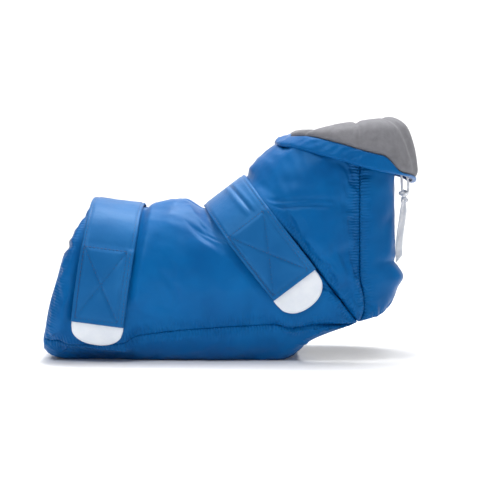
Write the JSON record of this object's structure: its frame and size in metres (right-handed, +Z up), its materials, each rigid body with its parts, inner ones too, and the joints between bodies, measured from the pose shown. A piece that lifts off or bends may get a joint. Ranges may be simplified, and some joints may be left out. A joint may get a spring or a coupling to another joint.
{
  "type": "cold compression wrap",
  "caption": "Padded boot-shaped cold wrap for ankle and foot: open heel and toes, split front, sealed gel packs in its walls, two stitched hook-and-loop straps and a turned-out toe cuff.",
  "frame": {"origin": "on the flat underside of the calf panel, in the plane of symmetry, below the front of the ankle", "axes": "+X along the leg from the leg opening to the sole, +Z up from the surface it rests on, straps fasten on the -Y side"},
  "size_m": [0.3444, 0.1614, 0.221],
  "materials": {
    "shell_fabric": "satin nylon, semi gloss",
    "lining_fabric": "matt brushed tricot",
    "filling": "matt fibre batting",
    "gel_film": "soft film over gel",
    "strap_webbing": "satin band, stitched",
    "hook_tape": "matt moulded hook tape",
    "loop_tape": "matt brushed loop",
    "tie_tape": "matt woven cotton tape"
  },
  "bodies": {
    "wrap": {"ankle_strap_anchor": "strap_webbing", "ankle_strap_loop_patch": "loop_tape", "calf_panel_cover": "shell_fabric", "calf_panel_filling": "filling", "calf_panel_gel_packs": "gel_film", "calf_panel_lining": "lining_fabric", "foot_wall_far_cover": "shell_fabric", "foot_wall_far_filling": "filling", "foot_wall_far_gel_packs": "gel_film", "foot_wall_far_lining": "lining_fabric", "foot_wall_near_cover": "shell_fabric", "foot_wall_near_filling": "filling", "foot_wall_near_gel_packs": "gel_film", "foot_wall_near_lining": "lining_fabric", "leg_strap_anchor": "strap_webbing", "leg_strap_loop_patch": "loop_tape", "leg_wall_far_cover": "shell_fabric", "leg_wall_far_filling": "filling", "leg_wall_far_gel_packs": "gel_film", "leg_wall_far_lining": "lining_fabric", "leg_wall_near_cover": "shell_fabric", "leg_wall_near_filling": "filling", "leg_wall_near_gel_packs": "gel_film", "leg_wall_near_lining": "lining_fabric", "sole_gusset_cover": "shell_fabric", "sole_gusset_filling": "filling", "sole_gusset_gel_packs": "gel_film", "sole_gusset_lining": "lining_fabric", "tie_anchor": "tie_tape", "tie_knot_lower": "tie_tape", "tie_knot_upper": "tie_tape", "tie_loop": "tie_tape", "tie_tail": "tie_tape", "toe_cuff_band": "shell_fabric", "toe_cuff_filling": "filling", "toe_cuff_lining": "lining_fabric", "toe_cuff_shell": "shell_fabric"},
    "leg_strap_over": {"leg_strap_band": "strap_webbing"},
    "leg_strap_end": {"leg_strap_pad": "strap_webbing", "leg_strap_hook_tab": "hook_tape"},
    "ankle_strap_over": {"ankle_strap_band": "strap_webbing"},
    "ankle_strap_end": {"ankle_strap_pad": "strap_webbing", "ankle_strap_hook_tab": "hook_tape"}
  },
  "joints": [
    {"name": "leg_strap_lift", "type": "hinge", "parent": "wrap", "child": "leg_strap_over", "pos_m": [-0.10731, 0.05832, 0.12534], "axis": [-0.9915, 0, 0.13], "range_deg": [0, 100]},
    {"name": "leg_strap_peel", "type": "hinge", "parent": "leg_strap_over", "child": "leg_strap_end", "pos_m": [-0.10997, -0.07314, 0.10506], "axis": [-0.9915, 0, 0.13], "range_deg": [0, 120]},
    {"name": "ankle_strap_lift", "type": "hinge", "parent": "wrap", "child": "ankle_strap_over", "pos_m": [0.0185, 0.0742, 0.12178], "axis": [-0.797, 0, -0.604], "range_deg": [0, 40]},
    {"name": "ankle_strap_peel", "type": "hinge", "parent": "ankle_strap_over", "child": "ankle_strap_end", "pos_m": [0.0135, -0.07343, 0.12838], "axis": [-0.797, 0, -0.604], "range_deg": [0, 120]}
  ]
}
